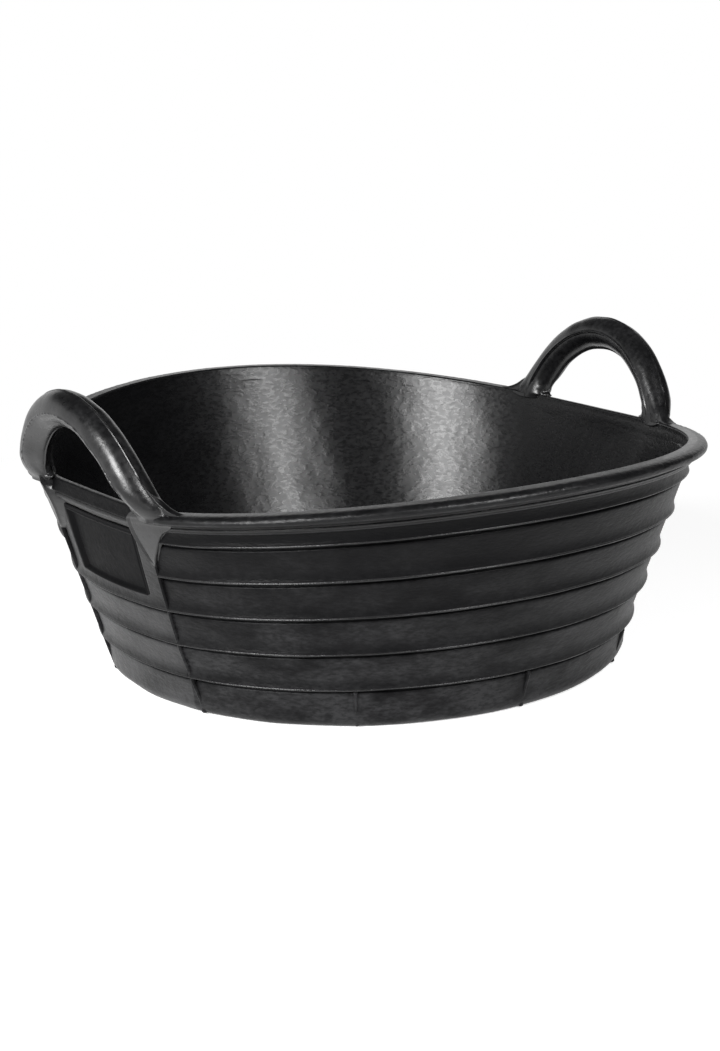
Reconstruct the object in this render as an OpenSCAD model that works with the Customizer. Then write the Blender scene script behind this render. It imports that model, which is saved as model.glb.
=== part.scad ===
// Rubber feed tub with two upright grips.
// Lengths are in millimetres. The tub stands on z = 0, its grips are at +x (right) and -x (left),
// and its front faces -y.

/* [Base] */
// Radius of the flat underside
base_r = 187.5; // [170:0.5:205]
// Radius of the rounded edge between underside and wall
base_round = 10; // [5:0.5:14]
// Thickness of the floor
floor_t = 9; // [6:0.5:14]
// Radius of the fillet inside, between floor and wall
inner_fillet = 14; // [8:0.5:22]

/* [Wall] */
// Radius of the wall's outer line at the height of the rim
rim_r = 254; // [236:0.5:275]
// Height of the rim's crest, averaged round the tub
rim_h = 166.5; // [150:0.5:185]
// Thickness of the wall at the lower edge of a band
wall_t = 9; // [7:0.25:11]
// Height of the lowest lap line
first_lap_h = 29; // [24:0.5:34]
// Height of the top band, from the highest lap line to the rim
top_band_h = 17.5; // [15:0.5:22]
// Number of lap lines
lap_count = 5; // [4:1:6]
// How far each band overhangs the one below it
lap_step = 2.2; // [1:0.1:3]
// Height over which a band's lower edge is rounded
lap_round = 0.9; // [0.5:0.1:1.5]

/* [Rim] */
// Thickness of the rim bead
rim_t = 8; // [6:0.5:10]
// Width of the rim bead
rim_w = 14; // [12:0.5:18]
// Radius of the bead's inner edge
rim_round = 3; // [1:0.25:3]
// How much lower than the average the rim is at the grips, and how much higher at the sides
rim_dip = 11.8; // [0:0.2:15]
// How much narrower the rim is towards the grips, and how much wider across, as a share of its radius
rim_pinch_share = 0.055; // [0:0.005:0.07]
// Height above which the wall starts to dip and pinch
warp_from = 14; // [14:0.5:24]
// Height of the collar bead
collar_h = 6; // [4:0.5:7]
// How far the collar stands out from the wall
collar_out = 3; // [1.5:0.25:4]
// Distance between the collar and the rim bead
collar_gap = 2; // [1:0.25:3]

/* [Handles] */
// Thickness of the grip
grip_d = 26; // [22:0.5:30]
// Height of the grip's centre line above its flex axis
grip_rise = 45; // [40:0.5:55]
// How far the grip leans outwards, in degrees
grip_lean = 13; // [5:0.5:18]
// Diameter of the rounded foot on which the grip flexes
foot_d = 29; // [28:0.5:34]
// Length of the foot
foot_l = 34; // [30:0.5:38]
// Radius of the foot's rounded ends
foot_round = 7; // [3:0.25:7]
// Clearance between foot and rim
foot_clearance = 0.4; // [0.3:0.05:0.8]
// Diameter of the cord inside the grip
cord_d = 8; // [5:0.5:10]
// Depth of the open hole left by the mould under each end of the cord
cord_hole = 6; // [3:0.25:8]

/* [Gussets and laps] */
// Height of a gusset's tip below the rim bead
gusset_h = 36; // [28:0.5:44]
// Width of a gusset at its top
gusset_w = 35; // [28:0.5:36]
// How far a gusset stands out beyond the rim bead
gusset_out = 2.5; // [1:0.25:4]
// Radius of a gusset's edges
gusset_round = 2; // [1:0.25:2]
// Width of a lap
lap_w = 26; // [20:0.5:32]
// Length of a lap below the rim bead
lap_l = 9; // [6:0.5:14]
// Thickness of a lap
lap_t = 2.2; // [1.5:0.1:3.5]

/* [Panels] */
// Distance from the lap line below to the panel
panel_low_gap = 9; // [5:0.5:12]
// Distance from the panel to the collar
panel_top_gap = 3; // [2:0.25:4]
// Thickness of the panel's frame
panel_t = 2; // [1.5:0.1:3]
// Thickness of the panel's bare field
panel_field_t = 0.9; // [0.6:0.05:1.2]
// Width of the panel's frame
panel_frame_w = 3.5; // [2.5:0.25:6]
// Bevel round the panel
panel_bevel = 1; // [0.5:0.1:1.4]

/* [Ridges and ribs] */
// Number of seam ridges and base ribs round the tub, with a grip midway between two of them
rib_count = 10; // [10:1:10]
// Width of a seam ridge
ridge_w = 3; // [2:0.25:4]
// How far a seam ridge stands out beyond the bands
ridge_out = 1.2; // [0.8:0.1:2]
// Height of the lower ends of ridges and ribs above the ground
ridge_lift = 0.8; // [0.5:0.1:2]
// Width of a base rib
rib_w = 2.6; // [2:0.2:4]
// How far a base rib stands out from the lowest band
rib_out = 1.2; // [0.8:0.1:2]

/* [Hidden] */
// Columns of facets between two ribs, and steps of the rounded parts of a section
cols_per_rib = 8;
arc_steps = 4;
bead_steps = 6;
// Share of the base's rounding that lies outside the wall's line, and the angle where it meets the wall
base_in_share = 0.65;
base_round_end = -15;
// Share of a lap's step that its lower edge has covered at the lap line
lip_share = 0.8;
// Share of the wall's thickness at which hidden ends of gussets and ridges lie
root_share = 0.5;
gusset_fn = 16;
full_turn = 360;
half_turn = 180;
quarter_turn = 90;
half = 1 / 2;

rib_step = full_turn / rib_count;
col_step = rib_step / cols_per_rib;
seam_a = rib_step * half;
seam_cols = cols_per_rib * half;
end_cols = seam_cols + 1;
panel_cols = seam_cols - 1;
end_a = end_cols * col_step;
side_cols = half_turn / col_step - 2 * end_cols;
cut_cols = 1;

wall_foot_r = base_r + base_round * base_in_share;
wall_lean = (rim_r - wall_foot_r) / rim_h;
wall_top = rim_h - rim_t;
top_lap_h = wall_top - top_band_h;
lap_pitch = (top_lap_h - first_lap_h) / (lap_count - 1);
panel_lap = lap_count - 3;
floor_r = base_r - wall_t;
collar_top = wall_top - collar_gap;
collar_low = collar_top - collar_h;
rim_in = inner_r(rim_h);
rim_out = rim_in + rim_w;
rim_crest_r = (rim_in + rim_out) * half;
panel_low = lap_h(panel_lap) + panel_low_gap;
panel_top = collar_low - panel_top_gap;
panel_a = panel_cols * col_step;

grip_r = grip_d * half;
foot_r = foot_d * half;
foot_end_a = seam_a + asin(foot_l * half / rim_r);
foot_point = place([rim_crest_r, rim_h], seam_a);
foot_x = foot_point[0];
foot_y = foot_point[1];
axis_z = place([rim_crest_r, rim_h], foot_end_a)[2] + foot_r + foot_clearance;
arch_r = (foot_y * foot_y + grip_rise * grip_rise) / (2 * grip_rise);
arch_a = asin(foot_y / arch_r);
cord_a = arch_a + asin((foot_r - cord_hole) / arch_r);
cord_hole_a = arch_a + asin(foot_d / arch_r);
lap_inner_mid = wall_top - lap_l;

// Radius of the wall's outer line, and of its inside, at a height
function outer_r(z) = wall_foot_r + wall_lean * z;
function inner_r(z) = outer_r(z) - wall_t;
function lap_h(k) = first_lap_h + lap_pitch * k;

// Share of the full dip and pinch at a height
function warp(z) = max(0, (z - warp_from) / (rim_h - warp_from));

// A section's point [radius, height] placed at an angle round the tub
function place(p, a) =
    let (r = p[0] * (1 - rim_pinch_share * warp(p[1]) * cos(2 * a)))
    [r * cos(a), r * sin(a), p[1] - rim_dip * warp(p[1]) * cos(2 * a)];

// The same point in the upright plane at that angle
function in_plane(p, a) =
    let (r = p[0] * (1 - rim_pinch_share * warp(p[1]) * cos(2 * a)))
    [r, p[1] - rim_dip * warp(p[1]) * cos(2 * a)];

function arc(c, r, a0, a1, n) =
    [for (i = [0:n]) let (a = a0 + (a1 - a0) * i / n) [c[0] + r * cos(a), c[1] + r * sin(a)]];

function angles(a0, n) = [for (i = [0:n]) a0 + col_step * i];

function reversed(list) = [for (i = [len(list) - 1:-1:0]) list[i]];

// Outer face of the top band, from the highest lap line to the rim
function top_face_r(z) =
    let (share = (z - top_lap_h - lap_round) / (top_band_h - lap_round))
    outer_r(top_lap_h) + (outer_r(wall_top) - lap_step - outer_r(top_lap_h)) * share;

// Outer face of an end wall, smooth from the panel's lap line to the rim
function end_face_r(z) =
    let (low = lap_h(panel_lap) + lap_round)
    let (share = (z - low) / (wall_top - low))
    outer_r(lap_h(panel_lap)) + (top_face_r(wall_top) - outer_r(lap_h(panel_lap))) * share;

function base_points() =
    concat([[floor_r, 0]], arc([base_r, base_round], base_round, -quarter_turn, base_round_end, arc_steps));

function lap_points(k) =
    let (z = lap_h(k))
    [
        [outer_r(z) - lap_step, z - lap_round],
        [outer_r(z) - lap_step * (1 - lip_share), z],
        [outer_r(z), z + lap_round]
    ];

function laps_to(last) = [for (k = [0:last]) each lap_points(k)];

function top_points() = [for (z = [collar_low, collar_top, wall_top]) [top_face_r(z), z]];

function end_points() =
    [for (z = [panel_low, panel_top, collar_low, collar_top, wall_top]) [end_face_r(z), z]];

function fillet_points() = [
    for (i = [0:arc_steps])
    let (t = i / arc_steps)
    let (from = [inner_r(floor_t + inner_fillet), floor_t + inner_fillet])
    let (mid = [inner_r(floor_t), floor_t])
    let (to = [inner_r(floor_t) - inner_fillet, floor_t])
    from * (1 - t) * (1 - t) + mid * 2 * t * (1 - t) + to * t * t
];

function inside_points() =
    concat(
        [
            [inner_r(wall_top), wall_top],
            [inner_r(lap_inner_mid), lap_inner_mid],
            [inner_r(rim_h * half), rim_h * half]
        ],
        fillet_points(),
        [[floor_r, floor_t]]
    );

function side_section() =
    concat(base_points(), laps_to(lap_count - 1), top_points(), inside_points());

function end_section() =
    concat(base_points(), laps_to(panel_lap), end_points(), inside_points());

function bead_points() =
    concat(
        arc([rim_out - rim_t * half, wall_top + rim_t * half], rim_t * half,
            -quarter_turn, quarter_turn, bead_steps),
        arc([rim_in + rim_round, rim_h - rim_round], rim_round, quarter_turn, half_turn, arc_steps)
    );

function rim_section() =
    concat([[inner_r(wall_top), wall_top], [top_face_r(wall_top), wall_top]], bead_points());

// Wall and rim together, as they stand behind a gusset
function gusset_seat() =
    let (low = lap_h(panel_lap) + lap_round)
    concat(
        [[inner_r(low), low], [outer_r(lap_h(panel_lap)), low]],
        end_points(),
        bead_points(),
        [[inner_r(wall_top), wall_top]]
    );

function collar_section(side) =
    let (mid = (collar_low + collar_top) * half)
    [
        for (i = [0:bead_steps])
        let (a = -quarter_turn + half_turn * i / bead_steps)
        let (z = mid + collar_h * half * sin(a))
        let (face = side ? top_face_r(z) : end_face_r(z))
        [face + collar_out * cos(a), z]
    ];

// True if a section's edge runs upwards, or outwards where it is level
function rises(p, q) = p[1] < q[1] || (p[1] == q[1] && p[0] < q[0]);

// Two facets between four corners, split the same way on both of two faces that meet
function facets(a, b, c, d, up) = up ? [[a, b, c], [a, c, d]] : [[a, b, d], [b, c, d]];

// A section swept round the tub through a list of angles
module swept(section, list) {
    m = len(section);
    n = len(list) - 1;
    points = [for (a = list) each [for (p = section) place(p, a)]];
    sides = [
        for (i = [0:n - 1])
        for (j = [0:m - 1])
        let (k = (j + 1) % m)
        let (h = i + 1)
        each facets(i * m + j, i * m + k, h * m + k, h * m + j, rises(section[j], section[k]))
    ];
    start = [[for (j = [m - 1:-1:0]) j]];
    stop = [[for (j = [0:m - 1]) n * m + j]];
    polyhedron(points, concat(sides, start, stop));
}

// A section swept once round the tub
module hoop(section) {
    m = len(section);
    n = rib_count * cols_per_rib;
    points = [for (i = [0:n - 1]) each [for (p = section) place(p, i * col_step)]];
    sides = [
        for (i = [0:n - 1])
        for (j = [0:m - 1])
        let (k = (j + 1) % m)
        let (h = (i + 1) % n)
        each facets(i * m + j, i * m + k, h * m + k, h * m + j, rises(section[j], section[k]))
    ];
    polyhedron(points, sides);
}

// A flat strip standing upright on the tub's radius at an angle
module upright(outline, w, a) {
    rotate([quarter_turn, 0, a])
        translate([0, 0, -w * half])
        linear_extrude(w)
        polygon([for (p = outline) in_plane(p, a)]);
}

module rubber() {
    color([0.10, 0.10, 0.10]) children();
}

module floor_disc() {
    rubber()
        linear_extrude(floor_t)
        polygon([for (i = [0:rib_count * cols_per_rib - 1])
            [floor_r * cos(i * col_step), floor_r * sin(i * col_step)]]);
}

module front_wall() {
    rubber() swept(side_section(), angles(half_turn + end_a, side_cols));
}

module back_wall() {
    rubber() swept(side_section(), angles(end_a, side_cols));
}

module left_end_wall() {
    rubber() swept(end_section(), angles(half_turn - end_a, 2 * end_cols));
}

module right_end_wall() {
    rubber() swept(end_section(), angles(-end_a, 2 * end_cols));
}

module rim_bead() {
    rubber() hoop(rim_section());
}

module rim_collar() {
    rubber()
        for (turn = [0, half_turn]) {
            swept(collar_section(true), angles(turn + end_a, side_cols));
            swept(collar_section(false), angles(turn - panel_a, 2 * panel_cols));
        }
}

// The right grip: an arch on two rounded feet, bored for its cord
module grip() {
    translate([foot_x, 0, axis_z])
        difference() {
            union() {
                arch(grip_r, arch_a);
                for (side = [-1, 1])
                    translate([0, side * foot_y, 0])
                    rotate([quarter_turn, 0, 0])
                    foot();
            }
            arch(cord_d * half, cord_hole_a);
        }
}

// A foot on its axis: a drum with rounded ends
module foot() {
    round_z = foot_l * half - foot_round;
    rotate_extrude() {
        translate([0, -foot_l * half]) square([foot_r - foot_round, foot_l]);
        translate([0, -round_z]) square([foot_r, 2 * round_z]);
        for (side = [-1, 1])
            translate([foot_r - foot_round, side * round_z]) circle(r = foot_round);
    }
}

// A round bar bent along the grip's centre line, through an angle to each side of its top
module arch(r, a) {
    rotate([0, grip_lean, 0])
        translate([0, 0, grip_rise - arch_r])
        rotate([quarter_turn, 0, quarter_turn])
        rotate([0, 0, quarter_turn - a])
        rotate_extrude(angle = 2 * a)
        translate([arch_r, 0])
        circle(r = r);
}

module cord() {
    color([0.75, 0.72, 0.64])
        translate([foot_x, 0, axis_z])
        arch(cord_d * half, cord_a);
}

module right_handle() {
    rubber() grip();
}

module left_handle() {
    rubber() rotate(half_turn) grip();
}

module right_handle_cord() {
    cord();
}

module left_handle_cord() {
    rotate(half_turn) cord();
}

// A ball of a gusset's edge radius at a section's point
module gusset_corner(r, z, a) {
    translate(place([r, z], a)) sphere(r = gusset_round, $fn = gusset_fn);
}

// The web under a foot: from the rim down to a tip on the seam
module gusset(a) {
    tip_z = wall_top - gusset_h;
    root = wall_t * root_share;
    spread = asin((gusset_w * half - gusset_round) / rim_r);
    side_z = wall_top - gusset_round * half;
    side_r = rim_out - rim_t * half - gusset_round;
    foot_z = wall_top + rim_t * half - gusset_round;
    difference() {
        hull() {
            gusset_corner(outer_r(tip_z) + ridge_out - gusset_round, tip_z + gusset_round, a);
            gusset_corner(outer_r(tip_z) - root, tip_z + gusset_round, a);
            gusset_corner(rim_out + gusset_out - gusset_round, foot_z, a);
            for (side = [-1, 1]) {
                gusset_corner(side_r, side_z, a + side * spread);
                gusset_corner(outer_r(side_z) - root, side_z, a + side * spread);
            }
        }
        swept(gusset_seat(), angles(a - 2 * cut_cols * col_step, 4 * cut_cols));
    }
}

module left_front_gusset() {
    rubber() gusset(half_turn + seam_a);
}

module left_back_gusset() {
    rubber() gusset(half_turn - seam_a);
}

module right_front_gusset() {
    rubber() gusset(-seam_a);
}

module right_back_gusset() {
    rubber() gusset(seam_a);
}

// The tongue of a foot on the inner wall, with a round lower end
module lap(a) {
    shell = [
        [inner_r(lap_inner_mid) - lap_t, lap_inner_mid],
        [inner_r(lap_inner_mid), lap_inner_mid],
        [inner_r(wall_top), wall_top],
        [inner_r(wall_top) - lap_t, wall_top]
    ];
    round_r = lap_w * half;
    low = in_plane([inner_r(lap_inner_mid), lap_inner_mid], a);
    intersection() {
        swept(shell, angles(a - cut_cols * col_step, 2 * cut_cols));
        rotate(a)
            translate([low[0] - wall_t, 0, low[1] + round_r])
            rotate([0, quarter_turn, 0])
            union() {
                cylinder(r = round_r, h = lap_l + wall_t);
                translate([-lap_l, -round_r, 0]) cube([lap_l, lap_w, lap_l + wall_t]);
            }
    }
}

module left_front_lap() {
    rubber() lap(half_turn + seam_a);
}

module left_back_lap() {
    rubber() lap(half_turn - seam_a);
}

module right_front_lap() {
    rubber() lap(-seam_a);
}

module right_back_lap() {
    rubber() lap(seam_a);
}

// A framed plate on an end wall, with a bare field
module panel(a) {
    rows = [panel_low, panel_top];
    field_rows = [panel_low + panel_frame_w, panel_top - panel_frame_w];
    face = [
        [end_face_r(panel_low) + panel_t, panel_low + panel_bevel],
        [end_face_r(panel_top) + panel_t, panel_top - panel_bevel]
    ];
    back = [for (z = reversed(rows)) [end_face_r(z), z]];
    field_out = [for (z = field_rows) [end_face_r(z) + 2 * panel_t, z]];
    field_in = [for (z = reversed(field_rows)) [end_face_r(z) + panel_field_t, z]];
    frame_a = asin(panel_frame_w / rim_r);
    inner_a = [for (i = [-panel_cols:panel_cols])
        a + (abs(i) == panel_cols ? sign(i) * (panel_a - frame_a) : i * col_step)];
    difference() {
        swept(concat(face, back), angles(a - panel_a, 2 * panel_cols));
        swept(concat(field_out, field_in), inner_a);
    }
}

module left_panel() {
    rubber() panel(half_turn);
}

module right_panel() {
    rubber() panel(0);
}

// A raised line up the wall from the base to a height, cut to fit the bands
module raised_line(w, out, inset, rows, a) {
    root = wall_t * root_share;
    base_line = arc([base_r, base_round], base_round + out, -quarter_turn, base_round_end, arc_steps);
    base_low = [for (p = base_line) [p[0], max(ridge_lift, p[1])]];
    face = [for (z = rows) [outer_r(z) - inset + out, z]];
    back = [for (z = reversed(rows)) [outer_r(z) - root, z]];
    upright(concat(base_low, face, back, [[base_r, base_round * half]]), w, a);
}

module seam_ridge(a) {
    difference() {
        raised_line(ridge_w, ridge_out, 0, [first_lap_h, lap_h(1), lap_h(2), wall_top - gusset_h], a);
        swept(end_section(), angles(a - cut_cols * col_step, 2 * cut_cols));
    }
}

module seam_ridges() {
    rubber()
        for (a = [seam_a, -seam_a, half_turn + seam_a, half_turn - seam_a])
            seam_ridge(a);
}

module base_rib(a) {
    difference() {
        raised_line(rib_w, rib_out, lap_step, [first_lap_h - lap_round], a);
        swept(side_section(), angles(a - cut_cols * col_step, 2 * cut_cols));
    }
}

module base_ribs() {
    rubber()
        for (k = [1:3])
            for (side = [-1, 1])
                base_rib(side * (seam_a + rib_step * k));
}

$fn = 64;

floor_disc();
front_wall();
back_wall();
left_end_wall();
right_end_wall();
rim_bead();
rim_collar();
left_handle();
right_handle();
left_handle_cord();
right_handle_cord();
left_front_gusset();
left_back_gusset();
right_front_gusset();
right_back_gusset();
left_front_lap();
left_back_lap();
right_front_lap();
right_back_lap();
left_panel();
right_panel();
seam_ridges();
base_ribs();
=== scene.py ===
"""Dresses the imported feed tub: a numpy surface for each moulded piece, rubber finishes and a studio stage."""

import math
from collections import namedtuple

import bpy
import numpy as np
from bpy.props import FloatProperty, FloatVectorProperty, IntProperty, PointerProperty
from mathutils import Matrix, Vector


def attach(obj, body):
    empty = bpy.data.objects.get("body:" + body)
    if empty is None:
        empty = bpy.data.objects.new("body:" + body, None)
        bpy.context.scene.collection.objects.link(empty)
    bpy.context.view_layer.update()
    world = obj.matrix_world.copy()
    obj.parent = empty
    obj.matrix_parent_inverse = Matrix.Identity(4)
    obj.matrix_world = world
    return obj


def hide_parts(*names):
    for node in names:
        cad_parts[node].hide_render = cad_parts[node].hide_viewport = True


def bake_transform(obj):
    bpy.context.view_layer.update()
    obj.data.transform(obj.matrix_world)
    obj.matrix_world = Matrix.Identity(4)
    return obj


bl_info = {
    "name": "Rubber feed tub",
    "version": (1, 0, 0),
    "blender": (4, 5, 0),
    "location": "3D View > Sidebar > Feed tub",
    "description": "Builds a moulded-rubber feed tub with two upright grips around its packed solids",
    "category": "Object",
}

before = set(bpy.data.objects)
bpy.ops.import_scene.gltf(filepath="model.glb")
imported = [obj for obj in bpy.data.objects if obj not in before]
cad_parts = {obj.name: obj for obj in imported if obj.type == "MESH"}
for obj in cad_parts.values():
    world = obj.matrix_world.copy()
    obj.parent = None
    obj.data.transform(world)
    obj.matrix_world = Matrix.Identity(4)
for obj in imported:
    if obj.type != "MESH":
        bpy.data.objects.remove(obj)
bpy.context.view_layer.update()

MM = 0.001
FULL_TURN = 2 * math.pi

# Share of the base's rounding by which the wall's line starts outside the underside
FOOT_OUT_SHARE = 0.65
# How far the wall between a grip's feet flattens towards the chord, as shares by height in mm
FLAT_HEIGHTS = (0, 29, 85, 120, 147, 160)
FLAT_SHARES = (0.15, 0.27, 0.33, 0.5, 0.75, 0.95)
# Softness of the flattening's ends, as a share of the seam angle's square
FLAT_SOFT = 0.3
# How steeply a band flares out to its lower lip
FLARE_POWER = 2.6
# The rubber's slow swells, the lumps on them, and for each face the lumps' length and the seed
SWELL_H, SWELL_L, LUMP_H = 0.16 * MM, 60 * MM, 0.03 * MM
INSIDE, OUTSIDE = (11 * MM, 3), (12 * MM, 7)


def linear(hex_colour):
    """Turns an sRGB hex colour into linear red, green and blue."""
    srgb = np.array([int(hex_colour[i : i + 2], 16) for i in (1, 3, 5)]) / 255
    return tuple(np.where(srgb <= 0.04045, srgb / 12.92, ((srgb + 0.055) / 1.055) ** 2.4).tolist())


def length(name, description, value_mm):
    """A length property, given in millimetres and kept in metres."""
    return FloatProperty(
        name=name, description=description, default=value_mm * MM, unit="LENGTH", precision=4
    )


def angle(name, description, value_deg):
    """An angle property, given in degrees and kept in radians."""
    return FloatProperty(name=name, description=description, default=math.radians(value_deg), unit="ROTATION")


def share(name, description, value):
    """A share of something, from 0 to 1."""
    return FloatProperty(name=name, description=description, default=value, min=0, max=1, subtype="FACTOR")


def ratio(name, description, value):
    """A plain ratio, 1 for no change."""
    return FloatProperty(name=name, description=description, default=value)


def colour(name, description, hex_colour):
    """A colour property, given as an sRGB hex value and kept linear."""
    return FloatVectorProperty(
        name=name, description=description, default=linear(hex_colour), subtype="COLOR", size=3, min=0, max=1
    )


class FeedTubWall(bpy.types.PropertyGroup):
    """Sizes of the floor, the wall and the rim"""

    base_r: length("Base radius", "Radius of the flat underside", 187.5)
    base_round: length("Base rounding", "Radius of the edge between underside and wall", 10)
    floor_t: length("Floor thickness", "Thickness of the floor", 9)
    fillet: length("Inner fillet", "Radius between floor and wall inside", 14)
    rim_r: length("Rim radius", "Radius of the wall's outer line at the rim", 254)
    rim_h: length("Rim height", "Height of the rim's crest, averaged round the tub", 166.5)
    wall_t: length("Wall thickness", "Thickness of the wall", 9)
    first_lap: length("First lap line", "Height of the lowest lap line", 29)
    top_band: length("Top band", "Height of the top band, up to the rim bead", 17.5)
    lap_count: IntProperty(
        name="Lap lines", description="Number of lap lines on the sides", default=5, min=4, max=6
    )
    lap_step: length("Lap step", "How far each band overhangs the one below", 2.6)
    lap_flare: length("Lap flare", "Height over which a band flares out to its lower lip", 11)
    rim_t: length("Rim thickness", "Thickness of the rim bead", 8)
    rim_w: length("Rim width", "Width of the rim bead", 14)
    rim_dip: length("Rim dip", "How much lower than its average the rim is at the grips", 11.8)
    rim_pinch: share("Rim pinch", "How much narrower the rim is towards the grips", 0.055)
    warp_from: length("Warp start", "Height above which the wall dips and pinches", 14)
    collar_h: length("Collar height", "Height of the twin collar under the rim bead", 6)
    collar_gap: length("Collar gap", "Gap between collar and rim bead", 2)
    seam: angle("Seam angle", "Angle between a grip's middle and the seams beside it", 18)
    rib_step: angle("Rib step", "Angle between neighbouring base ribs", 36)


class FeedTubGrip(bpy.types.PropertyGroup):
    """Sizes of the two grips, their gussets and laps"""

    half_w: length("Half width", "Half the width of the grip's oval line", 88)
    rise: length("Rise", "Upright half axis of the grip's oval line", 100)
    sink: length("Sink", "How far the oval's middle lies below the rim", 38)
    plane_x: length("Distance", "Distance of the grip's plane from the tub's middle", 229.6)
    rim_z: length("Rim level", "Height of the rim between the feet", 154.7)
    lean: angle("Lean", "How far the grip leans outwards", 10.6)
    radius: length("Radius", "Radius of the grip's roll", 12.7)
    left_tall: ratio("Left stretch", "Height of the left grip against the oval", 1.03)
    right_tall: ratio("Right stretch", "Height of the right grip against the oval", 0.977)
    right_wide: ratio("Right width", "Width of the right grip against the oval", 0.935)
    outer_fillet: length("Outer fillet", "Radius between leg and rim on the far side of the opening", 36)
    inner_fillet: length("Inner fillet", "Radius between leg and rim in the opening", 5)


class FeedTubFinish(bpy.types.PropertyGroup):
    """Colours of the rubber, the cord and the floor"""

    rubber: colour("Rubber", "Carbon-black rubber as moulded", "#050506")
    bloom: colour("Bloom", "Rubber dulled by a film of dust and bloom", "#2a2a2b")
    cord: colour("Cord", "Undyed textile cord in the grips", "#b8ac93")
    floor: colour("Floor", "White studio floor", "#f6f6f6")


def settings():
    """The wall, grip and finish settings of the scene."""
    scene = bpy.context.scene
    return scene.feed_tub_wall, scene.feed_tub_grip, scene.feed_tub_finish


# Shapes shared by the pieces


def step(x, low, high):
    """Smooth step: 0 below low, 1 above high, and the cubic 3t2 - 2t3 between them."""
    t = np.clip((x - low) / (high - low), 0, 1)
    return t * t * (3 - 2 * t)


def ripple(points, size, seed):
    """The sum of sine waves of about that length, in directions drawn from a seed, divided by the root of
    their count so that it stays mostly between -1 and 1."""
    count = 14
    rng = np.random.default_rng(seed)
    way = rng.normal(size=(count, 3))
    way *= (FULL_TURN / size * rng.uniform(0.65, 1.5, count) / np.linalg.norm(way, axis=1))[:, None]
    waves = np.sin(points @ way.T + rng.uniform(0, FULL_TURN, count))
    return waves.sum(-1) / math.sqrt(count)


def unevenness(points, lump_l, seed):
    """Slow swells of the rubber with small lumps on them."""
    return SWELL_H * ripple(points, SWELL_L, seed) + LUMP_H * ripple(points, lump_l, seed + 2)


def bell(x, middle, half_w):
    """A bell curve: 1 at the middle and 1/e at half its width from there."""
    return np.exp(-(((x - middle) / half_w) ** 2))


def round_rows(first_deg, last_deg, count):
    """Directions (cos, sin) from one angle to another without the first, to round an edge with."""
    turn = np.radians(np.linspace(first_deg, last_deg, count))[1:]
    return np.stack([np.cos(turn), np.sin(turn)], -1)


def straight_rows(first, last, count):
    """Points on the line from one (radius, height) to another, without the first."""
    t = np.linspace(0, 1, count)[1:, None]
    return first * (1 - t) + last * t


def wall_foot(w):
    """Radius of the wall's outer line at the ground."""
    return w.base_r + FOOT_OUT_SHARE * w.base_round


def wall_line(w, z):
    """Radius of the wall's straight outer line at a height."""
    return wall_foot(w) + (w.rim_r - wall_foot(w)) / w.rim_h * z


def wall_top(w):
    """Height of the rim bead's underside."""
    return w.rim_h - w.rim_t


def lap_heights(w):
    """Heights of the lap lines, evenly spaced from the first to the foot of the top band."""
    return np.linspace(w.first_lap, wall_top(w) - w.top_band, w.lap_count)


def from_grip(a):
    """Angle from the nearer grip's middle, from 0 at the grip to a quarter turn across it."""
    return np.abs((a + math.pi / 2) % math.pi - math.pi / 2)


def polar(r, z, a):
    """Points at radius r, height z and angle a."""
    return np.stack(np.broadcast_arrays(r * np.cos(a), r * np.sin(a), z), -1)


def place(w, r, z, a):
    """Points of the round tub, at radius r, height z and angle a, put where the warped tub has them.
    Towards the grips (cos 2a = 1) it narrows by the pinch and sinks by the dip, in proportion to the
    height above the warp's start, and across them it does the opposite. Between a grip's feet the wall
    flattens towards the chord from seam to seam, the more the higher it is: by a parabola over the angle,
    whose ends run out smoothly as the mean of m and the root of m2 + e2."""
    high = np.maximum(0, (z - w.warp_from) / (w.rim_h - w.warp_from))
    off = from_grip(a)
    inside, soft = w.seam**2 - off**2, FLAT_SOFT * w.seam**2
    near = (inside + np.hypot(inside, soft)) / (w.seam**2 + math.hypot(w.seam**2, soft))
    flat = near * np.interp(z / MM, FLAT_HEIGHTS, FLAT_SHARES)
    bend, seam_bend = high * np.cos(2 * off), high * math.cos(2 * w.seam)
    chord = (1 - w.rim_pinch * seam_bend) * math.cos(w.seam) - (1 - w.rim_pinch * high)
    r = r * (1 - w.rim_pinch * bend + flat * chord)
    z = z - w.rim_dip * (bend + flat * (seam_bend - high))
    return polar(r, z, a)


def lap_lip(w):
    """Groove and lip at a lap line as (out from the wall line, up from the lap line): the sloping shoulder
    of the band below, a groove behind the lip, and the lip's rounded lower edge with its thin raised
    line."""
    s = w.lap_step / MM
    rows = [
        (-s, -3.7), (-s - 0.12, -3.1), (-s - 0.4, -2.5), (-s - 0.85, -2), (-s - 1.5, -1.65), (-s - 2, -1.1),
        (-s - 2.1, -0.4), (-s - 1.7, 0.3), (-s * 0.7, 0.72), (-0.5, 0.8), (0, 0.95), (0.45, 1.2), (0.6, 1.45),
        (0.52, 1.75), (0.28, 2), (0.05, 2.2), (0, 2.6),
    ]
    return np.array(rows) * MM


def band_rows(w, low, high):
    """A band's outer face between two heights: it hangs a lap step behind the wall line, and flares out to
    the line at its lower lip as a power of the share of the flare's height that is left."""
    h = np.r_[np.linspace(0, w.lap_flare, 15)[1:], np.linspace(w.lap_flare, high - low, 8)[1:]]
    out = -w.lap_step * (1 - np.clip(1 - h / w.lap_flare, 0, 1) ** FLARE_POWER)
    return np.stack([wall_line(w, low + h) + out, low + h], -1)


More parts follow.
